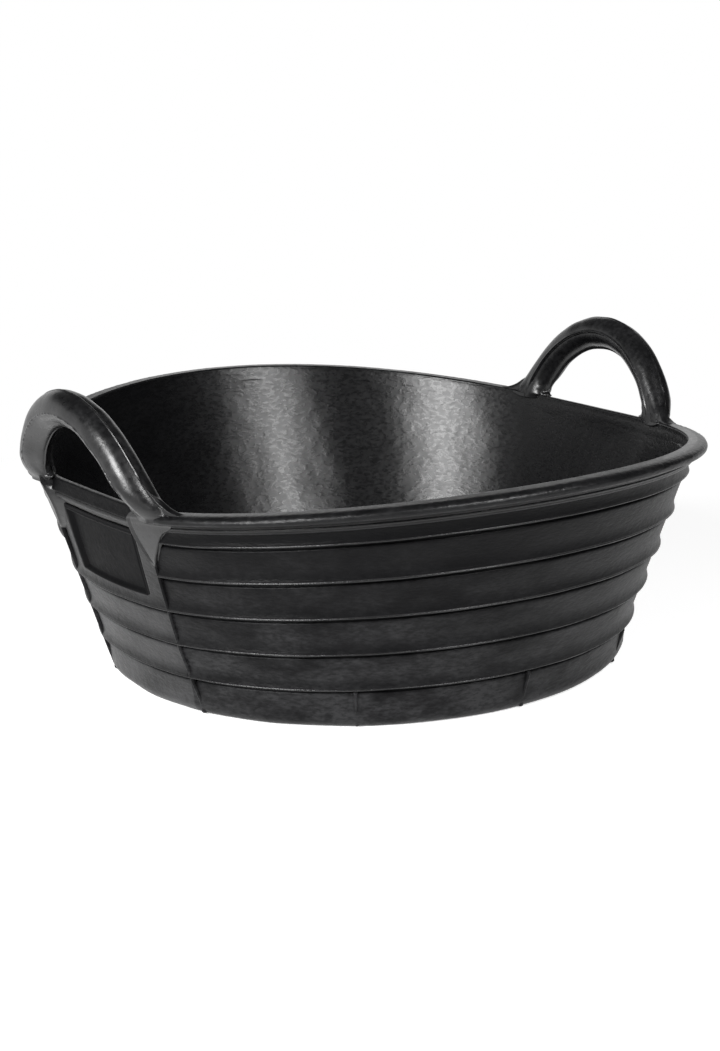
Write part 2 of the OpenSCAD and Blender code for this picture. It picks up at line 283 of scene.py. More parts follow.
def outer_face(w, laps):
    """The wall's outside from the floor disc's edge to the rim as (radius, height): underside, rounded
    base, lowest band, and for each lap line its lip and the band above."""
    lip = lap_lip(w)
    flat = np.linspace(w.base_r - w.wall_t, w.base_r, 5)[:-1]
    turn = np.radians(np.linspace(-90, -15, 12))
    base = np.stack([w.base_r + w.base_round * np.cos(turn), w.base_round * (1 + np.sin(turn))], -1)
    start = base[-1]
    h = np.linspace(start[1], laps[0] + lip[0, 1], 12)[1:-1]
    ease = np.clip((h - start[1]) / (laps[0] - start[1]), 0, 1)
    out = (start[0] - wall_line(w, start[1])) * (1 - ease) - w.lap_step * (1 - (1 - ease) ** 2)
    rows = [np.stack([flat, 0 * flat], -1), base, np.stack([wall_line(w, h) + out, h], -1)]
    for low, high in zip(laps, [*laps[1:], wall_top(w) - lip[0, 1]]):
        rows.append(np.stack([wall_line(w, low + lip[:, 1]) + lip[:, 0], low + lip[:, 1]], -1))
        band = band_rows(w, low + lip[-1, 1], high + lip[0, 1])
        rows.append(band if high > laps[-1] else band[:-1])
    return np.concatenate(rows)


def inner_face(w):
    """The wall's inside from the rim down to the floor disc's edge: a straight cone, then a quadratic
    Bezier curve as the fillet, then the floor."""
    top = np.linspace(wall_top(w), w.floor_t + w.fillet, 48)
    cone = np.stack([wall_line(w, top) - w.wall_t, top], -1)
    t = np.linspace(0, 1, 12)[1:, None]
    corner = np.array([wall_line(w, w.floor_t) - w.wall_t, w.floor_t])
    bend = cone[-1] * (1 - t) ** 2 + corner * 2 * t * (1 - t) + (corner - [w.fillet, 0]) * t**2
    return np.concatenate([cone, bend, [[w.base_r - w.wall_t, w.floor_t]]])


def section_normals(section):
    """Outward direction at each point of a closed section that runs with its outside on the right."""
    run = np.roll(section, -1, 0) - np.roll(section, 1, 0)
    out = np.stack([run[:, 1], -run[:, 0]], -1)
    return out / np.maximum(np.linalg.norm(out, axis=1), 1e-9)[:, None]


def swept(w, section, angles):
    """A section of (radius, height) rows placed at each angle, as a grid of points."""
    r, z = np.moveaxis(np.asarray(section), -1, 0)
    return place(w, r, z, np.asarray(angles)[:, None])


# Meshes


def grid_faces(n, m, wrap_n, wrap_m):
    """Corner numbers of the quads between the points of a grid, closed round either way if asked."""
    i, j = np.meshgrid(np.arange(n - (not wrap_n)), np.arange(m - (not wrap_m)), indexing="ij")
    k, l = (i + 1) % n, (j + 1) % m
    return np.stack([i * m + j, k * m + j, k * m + l, i * m + l], -1).reshape(-1, 4)


def tube(points, finish=0):
    """A grid closed round its second way, with flat ends of their own corners, as (points, faces,
    finishes); the finish is one number, or one for each point round the grid."""
    n, m = points.shape[:2]
    caps = n * m + np.arange(2 * m).reshape(2, m)
    faces = grid_faces(n, m, False, True).tolist() + [caps[0].tolist(), caps[1, ::-1].tolist()]
    marks = np.tile(np.zeros(m, int) + finish, n - 1)
    return np.concatenate([points.reshape(-1, 3), points[0], points[-1]]), faces, marks.tolist() + [0, 0]


def ring(points, finish):
    """A grid closed round both ways, with a finish for each point, as (points, faces, finishes)."""
    n, m = points.shape[:2]
    return points.reshape(-1, 3), grid_faces(n, m, True, True).tolist(), finish.ravel().tolist()


def pillow(front, back):
    """Two like grids with a strip of faces round their edges, as (points, faces, finishes)."""
    n, m = front.shape[:2]
    number = np.arange(n * m).reshape(n, m)
    edge = np.r_[number[0, :-1], number[:-1, -1], number[-1, :0:-1], number[:0:-1, 0]]
    on = np.roll(edge, -1)
    sides = np.stack([on, edge, edge + n * m, on + n * m], -1)
    sheet = grid_faces(n, m, False, False)
    faces = np.concatenate([sheet, sheet[:, ::-1] + n * m, sides]).tolist()
    return np.concatenate([front.reshape(-1, 3), back.reshape(-1, 3)]), faces, [0] * len(faces)


def outwards(points, faces):
    """The faces, all turned round if the volume that their quads enclose comes out negative."""
    p = points[np.array([face for face in faces if len(face) == 4])] - points.mean(0)
    cross = np.cross(p[:, 1], p[:, 2]) + np.cross(p[:, 2], p[:, 3])
    return faces if np.einsum("ij,ij->", p[:, 0], cross) > 0 else [face[::-1] for face in faces]


def add_object(name, data):
    """An object with that data, linked to the scene."""
    thing = bpy.data.objects.new(name, data)
    bpy.context.scene.collection.objects.link(thing)
    return thing


def add_piece(name, shells, kinds, body="tub", lip=None):
    """Joins closed shells into one smooth piece of some kinds of rubber, which rides on a body and stands
    for the CAD node of its name; lip says how near each point is to a band's lip, from 0 to 1, where the finish
    paints shade."""
    points, faces, marks, start = [], [], [], 0
    for shell_points, shell_faces, shell_marks in shells:
        turned = outwards(shell_points, shell_faces)
        points.append(shell_points)
        faces += [[i + start for i in face] for face in turned]
        marks += shell_marks
        start += len(shell_points)
    mesh = bpy.data.meshes.new(name)
    mesh.from_pydata(np.concatenate(points).tolist(), [], faces)
    mesh.polygons.foreach_set("use_smooth", [True] * len(faces))
    mesh.polygons.foreach_set("material_index", marks)
    if lip is not None:
        mesh.attributes.new("lip", "FLOAT", "POINT").data.foreach_set("value", lip)
    for kind in kinds:
        mesh.materials.append(rubber(kind))
    mesh.update()
    piece = add_object(name, mesh)
    if body:
        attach(piece, body)
    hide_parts(name)
    return piece


# Each grip: its name and its angle round the tub
ENDS = ("right", 0.0), ("left", math.pi)
# Each grip foot: its node's prefix, the grip's angle, and the side (+1 or -1) it is on
CORNERS = (
    ("right_back", 0.0, 1),
    ("right_front", 0.0, -1),
    ("left_front", math.pi, 1),
    ("left_back", math.pi, -1),
)


# Finishes


def add_node(tree, kind, inputs=None, **values):
    """Adds a shader node with its settings; each input named is set, or linked to a socket or to the first
    output in use of a node."""
    node = tree.nodes.new(f"ShaderNode{kind}")
    for key, value in values.items():
        setattr(node, key, value)
    for key, value in (inputs or {}).items():
        if isinstance(value, bpy.types.Node):
            value = next(socket for socket in value.outputs if socket.enabled)
        if isinstance(value, bpy.types.NodeSocket):
            tree.links.new(value, node.inputs[key])
        else:
            node.inputs[key].default_value = value
    return node


def bare_tree(owner):
    """The empty node tree of a material or of the surroundings."""
    owner.use_nodes = True
    owner.node_tree.nodes.clear()
    return owner.node_tree


# Gloss is the Specular IOR Level, waves to pebble are in mm, and the last field is the share of film left at
# the rim, for painted shade under the rim
Rubber = namedtuple(
    "Rubber", "roughness gloss waves creases crease_size pebble dust drawn_out settled", defaults=(1.0, 1.0)
)
RUBBERS = {
    # The wall's outside: it flowed round the mould in long streaks and keeps a film of bloom
    "satin": Rubber(0.42, 0.085, 0.5, 0.4, 5, 0.02, 1.3, 2.4, 0.1),
    # The end walls, the collar and the rim's underside, from a polished part of the mould
    "polished": Rubber(0.4, 0.22, 0.5, 0.4, 5, 0.02, 1.3, 2.4, 0.2),
    # The inside, pressed against a bag: finely creased, and glossier
    "creased": Rubber(0.28, 0.26, 0.4, 0.2, 5, 0.015, 0.1, 2.2),
    # Grips, gussets and the rim's top, smoothed by hands
    "handled": Rubber(0.31, 0.45, 0.3, 0.12, 4, 0.03, 0.5),
    # The rim's outer edge and the lips, where the flash was torn off: rough, with small facets that glint
    "trimmed": Rubber(0.34, 0.34, 0.3, 0.4, 3, 0.12, 0.5),
    # The bare panel, matt from an unpolished part of the mould
    "matt": Rubber(0.6, 0.06, 0.3, 0.25, 4, 0.06, 0.1),
}
RUBBER_IOR = 1.52
WAVE_SIZE, PEBBLE_SIZE, PATCH_SIZE = 30 * MM, 1.3 * MM, 45 * MM
# Heights between which the film thins towards the rim, as painted shade under the rim bead, and how much of it
# is taken off at a band's lip, as painted shade there
RIM_SHADE_LOW, RIM_SHADE_HIGH = 15 * MM, 145 * MM
LIP_SHADE = 0.6


def rubber(kind):
    """Compression-moulded carbon-black rubber: its gloss is broken by slow waves, by creases where the
    blank folded as it flowed, and by a fine pebble from the release powder. Bloom and dust dull it in
    patches and streaks. Less film at the lips of the bands and towards the rim darkens it there, as painted
    shade."""
    name = f"Moulded rubber, {kind}"
    if name in bpy.data.materials:
        return bpy.data.materials[name]
    _, _, f = settings()
    look = RUBBERS[kind]
    finish = bpy.data.materials.new(name)
    tree = bare_tree(finish)
    here = add_node(tree, "TexCoord").outputs["Object"]
    drawn = add_node(tree, "VectorMath", {0: here, 1: (1, 1, look.drawn_out)}, operation="MULTIPLY")
    wave, crease, pebble, patch = (
        add_node(tree, "TexNoise", {"Vector": at, "Scale": 1 / size, "Detail": detail, "Roughness": rough})
        for at, size, detail, rough in (
            (here, WAVE_SIZE, 2.0, 0.5),
            (drawn, look.crease_size * MM, 3.0, 0.6),
            (here, PEBBLE_SIZE, 2.0, 0.5),
            (drawn, PATCH_SIZE, 6.0, 0.65),
        )
    )
    high = 0.0
    for noise, height in ((wave, look.waves), (crease, look.creases), (pebble, look.pebble)):
        high = add_node(tree, "Math", {0: noise, 1: height * MM, 2: high}, operation="MULTIPLY_ADD")
    bump = add_node(tree, "Bump", {"Height": high, "Strength": 1.0, "Distance": 1.0})
    up = add_node(tree, "SeparateXYZ", {0: here}).outputs["Z"]
    film, streak, rim_shaded, dull = (
        add_node(
            tree, "MapRange",
            {"Value": value, "From Min": low, "From Max": top, "To Min": to_low, "To Max": to_top},
        )
        for value, low, top, to_low, to_top in (
            (patch, 0.36, 0.7, 0.0, look.dust),
            (crease, 0.35, 0.65, 0.45, 1.45),
            # Painted shade under the rim: less film, so darker rubber, the higher it is
            (up, RIM_SHADE_LOW, RIM_SHADE_HIGH, 1.0, look.settled),
            (crease, 0.3, 0.7, look.roughness - 0.05, look.roughness + 0.06),
        )
    )
    # Painted shade on the lower part of each band: the film is thinned near its lip, so the rubber there is
    # darker
    lip = add_node(tree, "Attribute", attribute_name="lip").outputs["Fac"]
    lip_unshaded = add_node(tree, "Math", {0: lip, 1: -LIP_SHADE, 2: 1.0}, operation="MULTIPLY_ADD")
    for part in (rim_shaded, lip_unshaded, streak):
        film = add_node(tree, "Math", {0: film, 1: part}, operation="MULTIPLY", use_clamp=part is streak)
    tint = add_node(tree, "Mix", {"Factor": film, "A": (*f.rubber, 1), "B": (*f.bloom, 1)}, data_type="RGBA")
    shader = add_node(
        tree, "BsdfPrincipled",
        {
            "Base Color": tint, "Roughness": dull, "Normal": bump, "IOR": RUBBER_IOR,
            "Specular IOR Level": look.gloss,
        },
    )
    add_node(tree, "OutputMaterial", {"Surface": shader})
    return finish


def braided_cord():
    """Undyed textile cord: two crossing waves give its strands their relief, and the hollows between them
    are painted darker as painted shade. A wave's band is a twentieth of a full turn over its scale."""
    name, strand_w, hollow_shade = "Braided textile cord", 1.6 * MM, 0.45
    if name in bpy.data.materials:
        return bpy.data.materials[name]
    _, _, f = settings()
    finish = bpy.data.materials.new(name)
    tree = bare_tree(finish)
    here = add_node(tree, "TexCoord").outputs["Object"]
    lines = []
    for side in (-1, 1):
        turned = add_node(tree, "Mapping", {"Vector": here, "Rotation": (0.5 * side, 0.8, 0.6 * side)})
        wave = add_node(
            tree, "TexWave", {"Vector": turned, "Scale": FULL_TURN / (20 * strand_w), "Distortion": 0.4}
        )
        lines.append(wave.outputs["Fac"])
    strand = add_node(tree, "Math", {0: lines[0], 1: lines[1]}, operation="MAXIMUM")
    bump = add_node(tree, "Bump", {"Height": strand, "Strength": 1.0, "Distance": 0.4 * MM})
    # Painted shade: the cord's colour is darkened in the hollows between the strands
    shaded_cord = [hollow_shade * c for c in f.cord]
    tint = add_node(tree, "Mix", {"Factor": strand, "A": (*shaded_cord, 1), "B": (*f.cord, 1)}, data_type="RGBA")
    shader = add_node(
        tree, "BsdfPrincipled", {"Base Color": tint, "Normal": bump, "Roughness": 0.85, "IOR": 1.53}
    )
    add_node(tree, "OutputMaterial", {"Surface": shader})
    return finish


# Pieces


COLUMNS_PER_DEGREE = 2
# Where and how far an end wall steps back behind its panel
PANEL_LOW, PANEL_TOP = (95 * MM, 97 * MM), (146.5 * MM, 144.5 * MM)
PANEL_SIDE = (math.radians(13.2), math.radians(12.6))
PANEL_BACK = 4.6 * MM
# Above a lap line: the torn bead, and where the painted shade on a band's lower part starts and is darkest
BEAD_LOW, BEAD_TOP = 0.8 * MM, 2.2 * MM
LIP_SHADE_SPAN = (13 * MM, 3 * MM)
# Below the rim bead: where the inside's unevenness ends and is full
INSIDE_CALM = (3 * MM, 30 * MM)


class FEEDTUB_OT_walls(bpy.types.Operator):
    """Makes the floor disc and the four wall sections"""

    bl_idname = "feed_tub.walls"
    bl_label = "Walls and floor"

    def execute(self, context):
        w, _, _ = settings()
        laps = lap_heights(w)
        for name, low, high, lines, outside in (
            ("front_wall", math.pi + w.seam, FULL_TURN - w.seam, laps, "satin"),
            ("back_wall", w.seam, math.pi - w.seam, laps, "satin"),
            ("left_end_wall", math.pi - w.seam, math.pi + w.seam, laps[:-2], "polished"),
            ("right_end_wall", -w.seam, w.seam, laps[:-2], "polished"),
        ):
            self.wall(w, name, low, high, lines, (outside, "creased", "trimmed"))
        self.floor(w, ("satin", "creased"))
        return {"FINISHED"}

    def wall(self, w, name, low, high, laps, kinds):
        """Sweeps outer and inner face from one angle to another, and moves the points along the section's
        normal by the rubber's unevenness; the end walls step back behind their panels."""
        outer, inner = outer_face(w, laps), inner_face(w)
        section = np.concatenate([outer, inner])
        z = section[:, 1]
        count = int(round(math.degrees(high - low) * COLUMNS_PER_DEGREE)) + 1
        angles = np.linspace(low, high, count)
        grid = swept(w, section, angles)
        across, up = section_normals(section).T
        out = polar(across, up, angles[:, None])
        inside = np.arange(len(section)) >= len(outer)
        fade = step(z, *(wall_top(w) - below for below in INSIDE_CALM))
        uneven = np.where(inside, fade * unevenness(grid, *INSIDE), unevenness(grid, *OUTSIDE))
        uneven[:, z < 0.5 * MM] = 0
        if len(laps) < w.lap_count:
            tall = step(z, *PANEL_LOW) * step(z, *PANEL_TOP) * ~inside
            wide = step(from_grip(angles), *PANEL_SIDE)[:, None]
            uneven = uneven - PANEL_BACK * tall * wide
        grid = grid + out * uneven[..., None]
        lap = np.searchsorted(laps, z + 2 * MM) - 1
        above = z - np.where(lap < 0, -1, laps[lap])
        # How near each point is to a band's lip, where the rubber is painted darker as painted shade
        lip = step(above, *LIP_SHADE_SPAN) * ~inside
        marks = np.where(inside, 1, np.where((above > BEAD_LOW) & (above < BEAD_TOP), 2, 0))
        add_piece(name, [tube(grid, marks)], kinds, lip=np.tile(lip, count + 2))

    def floor(self, w, kinds):
        """A flat disc: rings of points from the middle to the edge on top, then back underneath."""
        rings, spokes = 60, 240
        r = np.linspace(3 * MM, w.base_r - w.wall_t, rings)
        angles = np.linspace(0, FULL_TURN, spokes + 1)[:-1]
        top = np.stack([r, np.full(rings, w.floor_t)], -1)
        low = np.stack([r[::-1], np.zeros(rings)], -1)
        grid = np.swapaxes(swept(w, np.concatenate([top, low]), angles), 0, 1)
        grid[:rings, :, 2] += unevenness(grid[:rings], *INSIDE)
        points, faces, _ = tube(grid)
        marks = np.repeat([1, 0], [(rings - 1) * spokes, rings * spokes]).tolist() + [1, 0]
        add_piece("floor_disc", [(points, faces, marks)], kinds)


# Angles from the grip over which the rim's section changes from the end's to the side's
RIM_CHANGE = (math.radians(15.5), math.radians(24))
# Rows where the section's slope and outer edge end and its inner face starts, and the flash's row
SLOPE_END, EDGE_END, INNER_START, FLASH_ROW = 17, 24, 35, 20
# Roundings: inner edge, the lip's lower edge, and the lower edge between the feet
EDGE_ROUND, LIP_ROUND, END_ROUND = 1.8 * MM, 1.6 * MM, 0.7 * MM
SHOULDER_AXES = (6.6 * MM, 4.3 * MM)
# The slope under the lip: where it meets the collar, below the bead and out from the band, and its hollow
MEET_LOW, MEET_OUT, SLOPE_HOLLOW = 2.7 * MM, 2.3 * MM, 0.5 * MM


class FEEDTUB_OT_rim(bpy.types.Operator):
    """Makes the rim bead and the twin collar under it"""

    bl_idname = "feed_tub.rim"
    bl_label = "Rim and collar"

    def execute(self, context):
        w, _, _ = settings()
        self.bead(w)
        self.collar(w)
        return {"FINISHED"}

    def bead(self, w):
        """Blends two sections round the tub: a flat-topped lip that overhangs the sides, and between a
        grip's feet a narrow top with a plain face sloping out to the collar. Torn flash roughens the lip's
        outer edge."""
        angles = np.linspace(0, FULL_TURN, 721)[:-1]
        side, end = self.side_section(w), self.end_section(w)
        t = step(from_grip(angles), *RIM_CHANGE)[:, None]
        section = end * (1 - t[..., None]) + side * t[..., None]
        grid = place(w, section[..., 0], section[..., 1], angles[:, None])
        row = np.arange(len(side))
        flash = 0.3 * MM * np.maximum(0, 0.3 + 0.9 * ripple(grid, 6 * MM, 21)) * bell(row, FLASH_ROW, 2.5) * t
        waves = 0.1 * MM * ripple(grid, 40 * MM, 23) * (row > 12)
        away = polar(1, 0.2, angles)[:, None]
        grid = grid + away * (flash + waves)[..., None]
        slope, inner = row < SLOPE_END, row > INNER_START
        lip = np.where(inner, 2, np.where(slope, 3, row < EDGE_END))
        plain = np.where(inner, 2, np.where(slope, 4, 0))
        kinds = "handled", "trimmed", "creased", "polished", "satin"
        add_piece("rim_bead", [ring(grid, np.where(t > 0.5, lip, plain))], kinds)

    def inner_edge(self, w):
        """The rim's inner face, which comes out of the wall's inside below the bead, and its rounded
        edge."""
        low = wall_top(w)
        z = np.array([low - 9 * MM, low - 5 * MM, low, low + 3 * MM, w.rim_h - 2 * MM])
        r = wall_line(w, z) - w.wall_t + np.array([0.6, 0.1, -0.12, -0.15, -0.15]) * MM
        middle = np.array([r[-1] + EDGE_ROUND, w.rim_h - EDGE_ROUND])
        return np.concatenate([np.stack([r, z], -1), middle + EDGE_ROUND * round_rows(180, 90, 8)])

    def side_section(self, w):
        """Inner face and edge, a flat top, a shoulder that falls round to the outside as a quarter of an
        oval, its rounded lower edge, and a slope that runs back under it to the collar."""
        start = self.inner_edge(w)
        crest_r = wall_line(w, w.rim_h) - w.wall_t + w.rim_w - SHOULDER_AXES[0]
        crest = np.array([crest_r, w.rim_h - 0.2 * MM])
        top = straight_rows(start[-1], crest, 9)
        edge = crest + SHOULDER_AXES * (round_rows(90, -12, 10) - [0, 1])
        first = math.radians(-4)
        low = edge[-1] + LIP_ROUND * (round_rows(-4, -62, 6) - [math.cos(first), math.sin(first)])
        meet_z = wall_top(w) - MEET_LOW
        meet = np.array([wall_line(w, meet_z) - w.lap_step + MEET_OUT, meet_z])
        bulge = np.sin(np.pi * np.linspace(0, 1, 9)[1:, None])
        slope = straight_rows(low[-1], meet, 9) + SLOPE_HOLLOW * np.array([-1, 1]) * bulge
        back = meet - [4 * MM, 0.3 * MM]
        return np.concatenate([start, top, edge, low, slope, [back]])[::-1]

    def end_section(self, w):
        """The same count of points: inner face and edge, a narrow rounded top, a plain face that slopes
        out to the collar, its rounded lower edge, and the underside."""
        start = self.inner_edge(w)
        crest = start[-1] + [1.6 * MM, -0.1 * MM]
        top = straight_rows(start[-1], crest, 9)
        edge = crest + EDGE_ROUND * (round_rows(90, 18, 10) - [0, 1])
        foot = np.array([wall_line(w, wall_top(w)) + 1.2 * MM, wall_top(w) - 0.6 * MM])
        plain = straight_rows(edge[-1], foot, 9)
        low = foot + END_ROUND * (round_rows(10, -100, 6) - [1, 0])
        back = low[-1] - [6 * MM, 0]
        return np.concatenate([start, top, edge, plain, low, [back]])[::-1]

    def collar(self, w):
        """On the sides a slope out from the wall and two thin beads under it; between a grip's feet one
        round bead. Four lengths, whose ends lie in the gussets. The rows are (out from the band's face,
        height)."""
        low = wall_top(w) - w.collar_gap - w.collar_h + 0.8 * MM
        twin = np.array([
            (-1.5, 0), (0, 0.1), (0.9, 0.25), (1.8, 0.6), (2.4, 1.1), (2.65, 1.6), (2.68, 2.05), (2.6, 2.35),
            (2.55, 2.6), (2.6, 2.85), (2.8, 3.15), (3, 3.6), (2.9, 4.05), (2.3, 4.5), (1.6, 5.1), (0.8, 5.7),
            (0, 6.2), (-1.5, 6.4),
        ])
        turn = np.radians(np.linspace(-90, 90, 16))
        single = np.stack([3.2 * np.cos(turn), 2.9 + 2.9 * np.sin(turn)], -1)
        single = np.concatenate([[(-1.5, 0)], single, [(-1.5, 5.8)]])
        shells = []
        for first, last, rows in ((17, 163, twin), (197, 343, twin), (-16, 16, single), (164, 196, single)):
            z = low + rows[:, 1] * MM
            section = np.stack([wall_line(w, z) - w.lap_step + rows[:, 0] * MM, z], -1)
            angles = np.radians(np.linspace(first, last, 2 * (last - first) + 1))
            shells.append(tube(swept(w, section, angles)))
        add_piece("rim_collar", shells, ["polished"])


# Degrees from the top to a leg's end, and the row that gives its lean at the rim
LEG_END, FOOT_ROW = 69.3, 8
# Heights above the oval's zero: where the section turns level, and the rim's top, where the fillets end
LEG_LEVEL, RIM_TOP = (30 * MM, 6 * MM), 1.9 * MM
TUB_AXIS_SHARE = 0.97
# Outer half axis at the rim, the mean height in mm from which it shrinks to that, and that height's tilt
FOOT_T, THIN_FROM, THIN_TILT = 2.5 * MM, 24, 9
# How far the foot stands out along the rim: towards the tub, and outwards beyond and within the opening
STRIP_TUB, STRIP_FAR, STRIP_NEAR = 8.6 * MM, -2 * MM, -0.5 * MM


class FEEDTUB_OT_grips(bpy.types.Operator):
    """Makes the two grips, which bend above the rim, and finishes the cords inside them"""

    bl_idname = "feed_tub.grips"
    bl_label = "Grips"

    def execute(self, context):
        _, g, _ = settings()
        grid = self.roll(g)
        for (name, turn), tall, wide in zip(ENDS, (g.right_tall, g.left_tall), (g.right_wide, 1)):
            spin = Matrix.Rotation(turn, 3, "Z")
            points = grid @ np.array(spin).T
            points[..., 2] += (tall - 1) * np.maximum(0, points[..., 2] - g.rim_z)
            points[..., 1] *= wide
            piece = add_piece(f"{name}_handle", [tube(points)], ["handled"], None)
            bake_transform(piece)
            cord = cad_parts[f"{name}_handle_cord"]
            cord.data.materials.clear()
            cord.data.materials.append(braided_cord())
        return {"FINISHED"}

    def fillet(self, q, radius, lean):
        """How far a round of that radius stands out from a leg that leans by an angle towards it, at
        heights q above the rim: the circle that touches both the rim and the leg. Inside the rim it runs
        out in 4 mm."""
        reach = radius * math.tan((math.pi / 2 + lean) / 2)
        height = reach * math.cos(lean)
        inside = np.clip(q, 0, height)
        circle = np.sqrt(radius**2 - np.minimum(radius - inside, radius) ** 2)
        round_out = reach - circle - inside * math.tan(lean)
        return np.where(q < height, round_out, 0) * np.clip(1 + q / (4 * MM), 0, 1)

    def roll(self, g):
        """The right grip: a section carried along an oval line in a plane that leans outwards. The section
        has its own half axis towards the tub, the outside of the loop, the outside of the tub and the
        opening. Near the rim its plane turns level, its ends grow along the rim by the fillets, and there
        its sides fall back to the rim's faces. Thin raised lines part its four quarters."""
        t = np.radians(np.linspace(-LEG_END, LEG_END, 241))
        around = np.arange(360.0)
        c, s = np.cos(np.radians(around)), np.sin(np.radians(around))
        q, y = g.rise * np.cos(t) - g.sink, g.half_w * np.sin(t)
        up = np.array([math.sin(g.lean), 0, math.cos(g.lean)])
        out = np.array([math.cos(g.lean), 0, -math.sin(g.lean)])
        sideways = np.array([0, 1, 0])
        centre = np.array([g.plane_x, 0, g.rim_z]) + q[:, None] * up + y[:, None] * sideways
        run = np.stack([g.half_w * np.cos(t), -g.rise * np.sin(t)], -1)
        run /= np.linalg.norm(run, axis=1)[:, None]
        lean = math.atan(abs(run[FOOT_ROW, 0] / run[FOOT_ROW, 1]))
        q = q[:, None]
        turned = step(q, *LEG_LEVEL)
        square = run[:, :1] * up - run[:, 1:] * sideways
        wide = square * (1 - turned) + np.sign(t)[:, None] * sideways * turned
        wide /= np.linalg.norm(wide, axis=1)[:, None]
        # The section's own measures: along the oval's plane, and across it
        leg = g.radius * (1 + (1 / math.cos(lean) - 1) * turned)
        round_out = self.fillet(q - RIM_TOP, g.outer_fillet, -lean)
        round_in = self.fillet(q - RIM_TOP, g.inner_fillet, lean)
        extra = np.where(s > 0, round_out, round_in)
        along = (leg + extra) * s
        thin_from = (THIN_FROM - THIN_TILT * s) * MM
        thin = np.clip((thin_from - q) / thin_from, 0, 1) ** 1.6
        to_far = g.radius - (g.radius - FOOT_T) * thin
        reach = leg + np.minimum(0.6 * extra, 0.35 * g.radius)
        thick = np.where(c > 0, g.radius * TUB_AXIS_SHARE, to_far)
        side = thick * np.sqrt(np.clip(1 - (along / reach) ** 2, 0, 1))
        strip = np.where(c > 0, STRIP_TUB, np.where(s > 0, STRIP_FAR, STRIP_NEAR))
        across = np.sign(c) * np.maximum(side, strip * np.abs(c) ** 0.5 * step(extra, 0, 5 * MM))
        relief = self.relief(around) * step(q, 3 * MM, 16 * MM)
        across, along = across + relief * c, along + relief * s
        points = centre[:, None] - across[..., None] * out + along[..., None] * wide[:, None]
        # Along the rim the foot follows the rim's curve
        beyond = np.maximum(0, along - 5 * MM) * turned
        points[..., 0] -= 0.33 * beyond + beyond**2 / (480 * MM)
        points[..., 2] += 0.06 * beyond
        # Torn flash on the outer line, slow waves, and lumps where the root was pressed on
        flash = bell(around, 178, 3) * np.maximum(0, 0.35 + ripple(points, 5 * MM, 31))
        flash = flash * step(q, 4 * MM, 20 * MM)
        uneven = 0.35 * MM * flash + 0.18 * MM * ripple(points, 30 * MM, 33)
        root = bell(q, 6 * MM, 5 * MM) * np.maximum(0, -s - 0.3)
        uneven = uneven + 0.8 * MM * root * ripple(points, 7 * MM, 35)
        away = points - centre[:, None]
        away /= np.linalg.norm(away, axis=-1)[..., None]
        return points + away * uneven[..., None]

    def relief(self, phi):
        """Relief by angle in degrees from the tub's side: raised lines at 2, 86, 178 and 266, a proud band
        between the first two, a flattened quarter towards the opening, and a recessed one between opening
        and tub."""
        lines = sum(
            high * bell((phi - at + 180) % 360, 180, 3)
            for at, high in ((2, 0.75), (86, 0.6), (178, 0.2), (266, 0.55))
        )
        band = 0.3 * step(phi, 0, 5) * step(phi, 89, 83)
        flat = -1.5 * np.sin(np.pi * np.clip((phi - 180) / 84, 0, 1)) ** 2
        recess = -1.5 * step(phi, 267, 272) * step(phi, 360, 355)
        return (lines + band + flat + recess) * MM


# The web's heights in mm, and by height its ridge's angle from the grip and distance out, the width of its
# flank towards the opening, and angle and distance out of its edge on the side wall, in degrees and mm
WEB_Z = (121.8, 174)
WEB_RIDGE = (
    (121.8, 128, 134, 140, 147, 153, 160, 165, 172),
    (17.9, 16.9, 16.1, 15.5, 15.1, 15, 15.2, 16.2, 18.6),
)
WEB_CREST = (
    (121.8, 128, 134, 140, 147, 153, 158, 162, 165, 168, 174),
    (-0.3, 0.2, 0.9, 1.8, 3, 4.3, 5.4, 5.6, 4.4, 2, -2),
)
WEB_FLANK = (121.8, 130, 150, 157, 161, 172), (0.5, 1.4, 2.4, 1.6, 0.6, 0.4)
WEB_EDGE = (
    (121.8, 124.9, 129.5, 135.8, 141.8, 147.8, 150.9, 154.1, 158, 165.8, 166.4, 172, 178),
    (18.1, 18.5, 19, 19.9, 20.7, 21.6, 22.4, 24, 25.2, 25.2, 24, 19.6, 18.8),
)
WEB_EDGE_OUT = (121.8, 128, 156, 160, 165, 178), (-0.2, 0.9, 1, 2.4, 2.8, 0)
# How far in the flank ends and the back lies, in mm; the web's direction and its back's middle in degrees
FLANK_IN, BACK_IN, WEB_WAY, BACK_MIDDLE = 3, 7, 17, 16.5
# Rounding and depth of the web's edge in mm
WEB_ROUND, WEB_FALL = 1.2, 4
# The tongue: heights in mm of its sides and top, and its length; its middle and half its width in degrees;
# in mm its edge's distance out from the wall line, and its thickness from there
TONGUE_SIDE, TONGUE_TOP, TONGUE_L = 166, 166.2, 4.2
TONGUE_A, TONGUE_W, TONGUE_OUT, TONGUE_T = 19.7, 3.5, -8.6, 2.9


